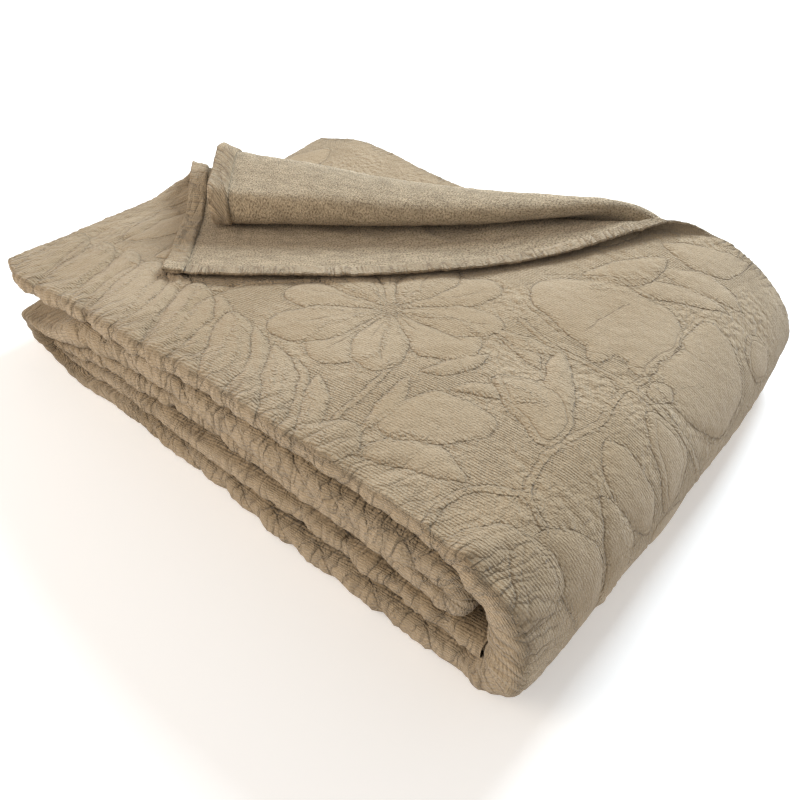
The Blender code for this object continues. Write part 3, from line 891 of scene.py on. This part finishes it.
gathers = {
    "foldFlat": 0.010,
    "foldReach": 0.020,
    "hemReach": 0.012,
    "endShare": 0.6,
    "endStart": 0.10,
    "endRun": 0.08,
    "cornerReach": 0.05,
}


def gatherShare(point):
    # 1 where the cloth is gathered into cross creases: at folds, hems and the loose end
    flat = max(abs(point["fromFold"]) - gathers["foldFlat"], 0.0)
    return max(fading(flat, gathers["foldReach"]), fading(point["edge"], gathers["hemReach"]),
               gathers["endShare"] * smooth((gathers["endStart"] - point["along"])
                                            / gathers["endRun"]),
               point["corner"] * fading(point["fromFold"], gathers["cornerReach"]))


def clothObject():
    mesh, points, fields = foldedCloth()
    placeInFrame(mesh)
    mesh.normal_update()
    mesh.verts.ensure_lookup_table()
    probe = min(range(len(points)), key=lambda i: abs(points[i]["along"] - 0.25)
                + abs(points[i]["across"] - 0.15))
    if mesh.verts[probe].normal.z < 0:
        bmesh.ops.reverse_faces(mesh, faces=mesh.faces[:])
    layer = mesh.loops.layers.uv.new("flatCloth")
    mesh.verts.index_update()
    for face in mesh.faces:
        for loop in face.loops:
            loop[layer].uv = points[loop.vert.index]["flat"]
    data = bpy.data.meshes.new("bedspread")
    mesh.to_mesh(data)
    mesh.free()
    for name in ("over", "under", "stem", "vein", "veinNear", "crease"):
        attribute = data.attributes.new(name + "Edge", "FLOAT", "POINT")
        clipped = np.clip(fields[name], -farOff, farOff).astype(np.float32)
        attribute.data.foreach_set("value", clipped)
    gathered = data.attributes.new("gathered", "FLOAT", "POINT")
    gathered.data.foreach_set("value", [gatherShare(point) for point in points])
    data.shade_smooth()
    piece = bpy.data.objects.new("bedspread", data)
    bpy.context.scene.collection.objects.link(piece)
    return piece


bedspread = clothObject()
flatSize = panelSize()
print("bedspread folded:", len(bedspread.data.polygons), "faces, panel", flatSize)


# Materials. Weaves and outlines are groups; the shader itself stays in the material.
class Field:
    # a value in a node tree; arithmetic with it adds the Math nodes that work it out
    def __init__(self, tree, socket):
        self.tree, self.socket = tree, socket

    def __add__(self, other):
        return doMath("ADD", self, other)

    def __sub__(self, other):
        return doMath("SUBTRACT", self, other)

    def __rsub__(self, other):
        return doMath("SUBTRACT", other, self)

    def __mul__(self, other):
        return doMath("MULTIPLY", self, other)

    def __truediv__(self, other):
        return doMath("DIVIDE", self, other)

    def __abs__(self):
        return doMath("ABSOLUTE", self)


def fill(socket, value):
    if isinstance(value, Field):
        value.tree.links.new(value.socket, socket)
    else:
        socket.default_value = value


def setSockets(node, values):
    for name, value in values.items():
        fill(node.inputs[name], value)


def addNode(kind, values, inputs, output=0, **settings):
    # a node in the tree of the fields that it takes
    tree = next(value.tree for value in values if isinstance(value, Field))
    node = tree.nodes.new("ShaderNode" + kind)
    for name, setting in settings.items():
        setattr(node, name, setting)
    for key, value in zip(inputs, values):
        fill(node.inputs[key], value)
    return Field(tree, node.outputs[output])


def doMath(operation, *values):
    return addNode("Math", values, range(3), operation=operation)


def highest(*values):
    top = values[0]
    for value in values[1:]:
        top = doMath("MAXIMUM", top, value)
    return top


def sineOf(turns):
    return doMath("SINE", turns * (2 * math.pi))


def mixColors(factor, a, b):
    return addNode("Mix", (factor, a, b), (0, 6, 7), 2, data_type="RGBA")


def mixValues(factor, a, b):
    return addNode("Mix", (factor, a, b), (0, 2, 3))


def spread(value, fromLow, fromHigh, low=0.0, high=1.0):
    return addNode("MapRange", (value, fromLow, fromHigh, low, high), range(5))


def stretched(place, *scale):
    return addNode("Mapping", (place, scale), ("Vector", "Scale"))


def noiseOf(place, scale, detail=3.0):
    return addNode("TexNoise", (place, scale, detail), ("Vector", "Scale", "Detail"), "Fac")


def partsOf(place):
    along = addNode("SeparateXYZ", (place,), (0,), "X")
    return along, Field(place.tree, along.socket.node.outputs["Y"])


def newGroup(name, inputs, outputs):
    # the group, a function that gives its inputs and one that takes its outputs
    group = bpy.data.node_groups.new(name, "ShaderNodeTree")
    group.interface.new_socket("Place", in_out="INPUT", socket_type="NodeSocketVector")
    for socket, value in inputs.items():
        made = group.interface.new_socket(socket, in_out="INPUT", socket_type="NodeSocketFloat")
        made.default_value = value
    for socket in outputs:
        group.interface.new_socket(socket, in_out="OUTPUT", socket_type="NodeSocketFloat")
    enter, leave = group.nodes.new("NodeGroupInput"), group.nodes.new("NodeGroupOutput")
    return (group, lambda socket: Field(group, enter.outputs[socket]),
            lambda socket, value: fill(leave.inputs[socket], value))


def ribWeaveGroup():
    # fine ribs, and the staggered stitches that dot them, wavering as soft cotton does
    group, enter, leave = newGroup(
        "ribWeave", {"Rib Pitch": 0.0019, "Stitch Pitch": 0.0021, "Slant": 0.12},
        ("Ribs", "Grooves", "Stitches"))
    place = enter("Place")
    along, across = partsOf(place)
    drift = (noiseOf(place, 55.0, 2.0) - 0.5) * 0.0028
    rows = (along * enter("Slant") + across + drift) / enter("Rib Pitch")
    ribs = abs(sineOf(rows * 0.5))
    broken = spread(noiseOf(stretched(place, 1.0, 3.0, 1.0), 240.0), 0.3, 0.7, 0.3, 1.0)
    turns = rows * 0.5 + along / enter("Stitch Pitch")
    leave("Ribs", ribs * broken)
    # Grooves only darkens the colour: painted shade in the grooves between the ribs
    leave("Grooves", spread(ribs, 0.0, 0.55, 1.0, 0.0) * broken)
    leave("Stitches", sineOf(turns) * sineOf(rows))
    return group


def outlineGroup():
    # where the figures are, the narrow valleys along their outlines, and what lies beside those
    edges = ("Over", "Under", "Stem", "Vein", "Vein Near", "Crease")
    group, enter, leave = newGroup(
        "figureOutlines",
        {**dict.fromkeys(edges, -0.05), "Width": 0.0006, "Reach": 0.0030, "Waver": 0.0016},
        ("Lines", "Beside", "Inside"))
    waver = (noiseOf(enter("Place"), 210.0, 2.0) - 0.5) * enter("Waver")
    over, under, stem, vein = (enter(name) + waver for name in edges[:4])

    def valley(distance, width="Width"):
        share = distance / enter(width)
        return doMath("EXPONENT", share * share * -1.0)

    clearOfOver = doMath("LESS_THAN", over, 0.0)
    clearOfBoth = clearOfOver * doMath("LESS_THAN", under, 0.0)
    shown = spread(enter("Vein Near"), 0.0016, 0.0024, 0.75, 0.0)
    leave("Lines", highest(valley(over), valley(under) * clearOfOver, valley(stem) * clearOfBoth,
                           valley(vein) * shown, valley(doMath("MINIMUM", enter("Crease"), 0.0))))
    leave("Beside", highest(*(valley(edge, "Reach") for edge in (over, under, stem))))
    leave("Inside", spread(highest(over, under, stem), -0.0003, 0.0012))
    return group


def crinkleGroup():
    # thin creases between rounded cells, drawn out across the folds where the cloth is gathered
    group, enter, leave = newGroup(
        "softCrinkle", {"Cell": 0.010, "Stretch": 1.0, "Slant": 0.0}, ("Creases", "Bulge"))
    place = enter("Place")
    bend = addNode("TexNoise", (place, 70.0, 2.0), ("Vector", "Scale", "Detail"), "Color")
    along, across = ((shift - 0.5) * 0.012 + flat
                     for shift, flat in zip(partsOf(bend), partsOf(place)))
    along = (across * enter("Slant") + along) / enter("Cell")
    across = across / enter("Cell") / enter("Stretch")
    joined = addNode("CombineXYZ", (along, across), (0, 1))
    far = addNode("TexVoronoi", (joined, 1.0), ("Vector", "Scale"), "Distance",
                  voronoi_dimensions="2D", feature="DISTANCE_TO_EDGE")
    uneven = spread(noiseOf(place, 38.0, 2.0), 0.35, 0.65)
    leave("Creases", doMath("EXPONENT", far * -14.0) * uneven)
    leave("Bulge", doMath("MINIMUM", far * 3.0, 1.0))
    return group


def looseWeaveGroup():
    # the reverse: loops in broken rows, slubby and speckled
    group, enter, leave = newGroup("looseWeave", {"Pitch": 0.0026, "Row": 0.0021},
                                   ("Height", "Slubs", "Specks"))
    place = enter("Place")
    shake = (noiseOf(place, 300.0, 2.0) - 0.5) * 0.0034
    along, across = (flat + shake for flat in partsOf(place))
    rows = across / enter("Row")
    turns = rows * 0.5 + along / enter("Pitch")
    grains = spread(noiseOf(place, 780.0, 2.0), 0.35, 0.65)
    leave("Height", sineOf(turns) * sineOf(rows) * 0.30 + grains)
    leave("Slubs", noiseOf(stretched(place, 1.0, 3.0, 1.0), 60.0, 5.0))
    leave("Specks", spread(noiseOf(place, 640.0, 2.0), 0.50, 0.60))
    return group


def hemPuckerGroup():
    # sharp little gathers across the turned hems, drawn in by their stitching
    group, enter, leave = newGroup("hemPuckers", {"Side Scale": 165.0, "End Scale": 115.0},
                                   ("Height", "Notches"))
    place = enter("Place")
    gathered = spread(noiseOf(place, 38.0, 1.0), 0.40, 0.58, 0.25, 1.0)
    heights, notches = [], []
    for scale, stretch, edge in (("End Scale", (0.12, 1.0, 1.0), 0),
                                 ("Side Scale", (1.0, 0.12, 1.0), 1)):
        off = abs(noiseOf(stretched(place, *stretch), enter(scale), 1.5) - 0.5)
        mask = spread(partsOf(place)[edge], 0.0005, 0.0060, 1.0, 0.0) * gathered
        heights.append(spread(off, 0.0, 0.16) * mask)
        # the notches only darken the colour: painted shade in the creases between the gathers
        notches.append(spread(off, 0.005, 0.035, 1.0, 0.0) * mask)
    leave("Height", highest(*heights))
    leave("Notches", highest(*notches))
    return group


cotton = {
    "light": (0.535, 0.410, 0.268, 1.0),
    "ground": (0.465, 0.345, 0.212, 1.0),
    "figureShade": 0.10,     # the figures' closer weave is a little darker
    # dark brown: the real darker tone of fibres, figure weave and specks, and also painted shade
    # in rib grooves, stitch dips, outline valleys, creases and hem notches
    "shade": (0.105, 0.066, 0.032, 1.0),
    "reverse": (0.635, 0.495, 0.325, 1.0),
    # darker reverse tone: real tone for the slubs, and also painted shade in the dips between the
    # loops
    "reverseDark": (0.230, 0.165, 0.098, 1.0),
    "shader": {
        "Roughness": 0.92, "Specular IOR Level": 0.25, "Sheen Weight": 0.16,
        "Sheen Tint": (0.92, 0.96, 1.0, 1.0), "Sheen Roughness": 0.5,
    },
    "ribHeight": 0.90,       # in millimetres, as the bump's distance is one of them
    "stitchHeight": 0.14,
    "grainHeight": 0.85,
    "lineDepth": 0.60,
    "figureStep": 0.45,      # the figures stand this much over the ground
    "linePucker": 1.75,      # small puckers beside the outlines
    "rippleHeight": 2.80,    # soft ripples all over, less on the figures
    "rumpleHeight": 3.40,    # and stronger ones where the ground is rumpled
    "crinkleDepth": 0.30,
    "gatherDepth": 1.10,
    "creaseDepth": 0.80,
    "hemDepth": 1.70,
    "reverseHeight": 0.75,
}


def attributeOf(tree, name):
    node = tree.nodes.new("ShaderNodeAttribute")
    node.attribute_name = name
    return Field(tree, node.outputs["Fac"])


def placeGroup(group, place, **inputs):
    # a shared effect at its place in the material; what comes back gives its outputs by name
    node = place.tree.nodes.new("ShaderNodeGroup")
    node.node_tree = group
    fill(node.inputs["Place"], place)
    setSockets(node, {name.replace("_", " "): value for name, value in inputs.items()})
    return lambda name: Field(place.tree, node.outputs[name])


def rightSide(place):
    # smoother figures on a ribbed, crinkled ground, parted by narrow valleys
    gathered = attributeOf(place.tree, "gathered")
    edges = {name[0].upper() + name[1:]: attributeOf(place.tree, name + "Edge")
             for name in ("over", "under", "stem", "vein", "crease")}
    design = placeGroup(outlineGroup(), place, **edges,
                        Vein_Near=attributeOf(place.tree, "veinNearEdge"))
    weave = placeGroup(ribWeaveGroup(), place)
    crinkle = crinkleGroup()
    small = placeGroup(crinkle, place, Cell=0.0068)
    drawn = placeGroup(crinkle, place, Cell=0.0085, Stretch=5.0, Slant=0.35)
    hemmed = placeGroup(hemPuckerGroup(), place)
    inside, lines = design("Inside"), design("Lines")
    bare = 1.0 - inside
    patches = noiseOf(place, 15.0, 2.0)
    ribbed = highest(spread(patches, 0.42, 0.56, 0.35, 1.0) * bare, gathered * 0.45 + 0.30)
    rumpled = spread(patches, 0.58, 0.44, 0.10, 1.0) * bare * (1.0 - gathered)
    cracks = highest(small("Creases") * rumpled * 0.35, drawn("Creases") * gathered)
    stitches = weave("Stitches") * spread(inside, 0.0, 1.0, 1.0, 0.4)
    layers = (
        (cotton["ribHeight"], weave("Ribs") * ribbed),
        (cotton["stitchHeight"], stitches),
        (cotton["grainHeight"], noiseOf(place, 800.0, 2.0) - 0.5),
        (cotton["rippleHeight"],
         (noiseOf(place, 115.0) - 0.5) * spread(inside, 0.0, 1.0, 1.0, 0.7)),
        (cotton["rumpleHeight"], (noiseOf(place, 185.0, 1.0) - 0.5) * rumpled),
        (cotton["figureStep"], inside),
        (cotton["linePucker"], abs(noiseOf(place, 260.0, 1.0) - 0.5) * 3.0 * design("Beside")),
        (-cotton["lineDepth"], lines),
        (-cotton["creaseDepth"], cracks),
        (cotton["crinkleDepth"], small("Bulge") * rumpled),
        (cotton["gatherDepth"], drawn("Bulge") * gathered),
        (cotton["hemDepth"], hemmed("Height")),
    )
    height = layers[0][1] * layers[0][0]
    for depth, share in layers[1:]:
        height = share * depth + height

    color = mixColors(spread(noiseOf(place, 11.0, 4.0), 0.35, 0.65), cotton["ground"],
                      cotton["light"])
    fibres = spread(noiseOf(stretched(place, 1.0, 2.5, 1.0), 560.0), 0.34, 0.66, 0.0, 0.34)
    broken = spread(noiseOf(place, 95.0), 0.38, 0.58, 0.06, 0.38)
    # fibres and the figures' weave are real darker tone; the rib grooves, stitch dips, outline
    # valleys, creases and hem notches get painted shade
    for share in (fibres, inside * cotton["figureShade"], weave("Grooves") * ribbed * 0.62,
                  spread(stitches, -0.2, -0.9, 0.0, 0.22),
                  highest(lines * broken, cracks * 0.55, hemmed("Notches") * 0.55)):
        color = mixColors(share, color, cotton["shade"])
    return height, color


def reverseSide(place):
    # loose and slubby, with dark specks between the nubs
    loose = placeGroup(looseWeaveGroup(), place)
    color = mixColors(spread(loose("Slubs"), 0.35, 0.68, 0.0, 0.48), cotton["reverse"],
                      cotton["reverseDark"])
    # darker where the loops dip: painted shade in the hollows between the nubs
    color = mixColors(spread(loose("Height"), -0.05, 0.60, 0.52, 0.0), color,
                      cotton["reverseDark"])
    return (loose("Height") * cotton["reverseHeight"],
            mixColors(loose("Specks") * 0.60, color, cotton["shade"]))


def cottonMaterial():
    material = bpy.data.materials.new("matelasseCotton")
    material.use_nodes = True
    tree = material.node_tree
    shader = tree.nodes["Principled BSDF"]
    flat = tree.nodes.new("ShaderNodeUVMap")
    flat.uv_map = "flatCloth"
    place = Field(tree, flat.outputs[0])
    behind = Field(tree, tree.nodes.new("ShaderNodeNewGeometry").outputs["Backfacing"])
    frontHeight, frontColor = rightSide(place)
    backHeight, backColor = reverseSide(place)
    bump = addNode("Bump", (mixValues(behind, frontHeight, backHeight), 0.001, 1.0),
                   ("Height", "Distance", "Strength"))
    setSockets(shader, {"Normal": bump, "Base Color": mixColors(behind, frontColor, backColor),
                        **cotton["shader"]})
    return material


bedspread.data.materials.append(cottonMaterial())
print("cloth finished")


studio = {
    "floorColor": (0.94, 0.93, 0.92, 1.0),
    "floorGlow": 0.30,       # keeps the floor near white in the stack's soft shadow
    "floorSize": 6.0,
    "floorRoughness": 0.8,
    "skyColor": (1.0, 1.0, 1.0, 1.0),
    "skyStrength": 0.48,
    # name, place, aim, size, power, colour
    "lamps": (
        ("keyLight", (-0.10, 1.25, 1.02), (0.0, 0.0, 0.05), 0.6, 37.0, (0.80, 0.91, 1.0)),
        ("fillLight", (-1.0, -1.3, 0.9), (0.0, 0.0, 0.05), 1.2, 19.0, (1.0, 0.88, 0.74)),
    ),
    "azimuth": 41.166,       # the camera's bearing and height over its aim, in degrees
    "elevation": 41.857,
    "distance": 0.5454,
    "roll": 0.3,
    "cameraAim": (0.0787, -0.0809, 0.0600),
    "lens": 34.944,
}


def aimed(thing, place, aim, roll=0.0):
    thing.location = place
    turn = (Vector(aim) - Vector(place)).to_track_quat("-Z", "Y")
    thing.rotation_euler = (turn @ Quaternion((0.0, 0.0, 1.0), math.radians(roll))).to_euler()
    bpy.context.scene.collection.objects.link(thing)
    return thing


def layFloor():
    mesh = bmesh.new()
    bmesh.ops.create_grid(mesh, x_segments=1, y_segments=1, size=studio["floorSize"] / 2)
    data = bpy.data.meshes.new("floor")
    mesh.to_mesh(data)
    mesh.free()
    material = bpy.data.materials.new("floorPaint")
    material.use_nodes = True
    shader = material.node_tree.nodes["Principled BSDF"]
    setSockets(shader, {"Base Color": studio["floorColor"], "Roughness": studio["floorRoughness"],
                        "Emission Color": studio["floorColor"],
                        "Emission Strength": studio["floorGlow"]})
    data.materials.append(material)
    floor = bpy.data.objects.new("floor", data)
    bpy.context.scene.collection.objects.link(floor)
    return floor


def lightStudio():
    world = bpy.data.worlds.new("studioSky")
    bpy.context.scene.world = world
    world.use_nodes = True
    setSockets(world.node_tree.nodes["Background"],
               {"Color": studio["skyColor"], "Strength": studio["skyStrength"]})
    for name, place, aim, size, power, color in studio["lamps"]:
        lamp = bpy.data.lights.new(name, "AREA")
        lamp.size = size
        lamp.energy = power
        lamp.color = color
        aimed(bpy.data.objects.new(name, lamp), place, aim)


def setCamera():
    camera = bpy.data.cameras.new("camera")
    camera.lens = studio["lens"]
    camera.sensor_width = 36.0
    azimuth, elevation = math.radians(studio["azimuth"]), math.radians(studio["elevation"])
    away = Vector((math.sin(azimuth) * math.cos(elevation),
                   -math.cos(azimuth) * math.cos(elevation), math.sin(elevation)))
    place = Vector(studio["cameraAim"]) + away * studio["distance"]
    bpy.context.scene.camera = aimed(bpy.data.objects.new("camera", camera), place,
                                     studio["cameraAim"], studio["roll"])


floor = layFloor()
lightStudio()
setCamera()
bpy.context.scene.view_settings.view_transform = "Standard"
print("studio ready")

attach(bedspread, "root")
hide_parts("bedspread_cloth")

bpy.context.view_layer.update()
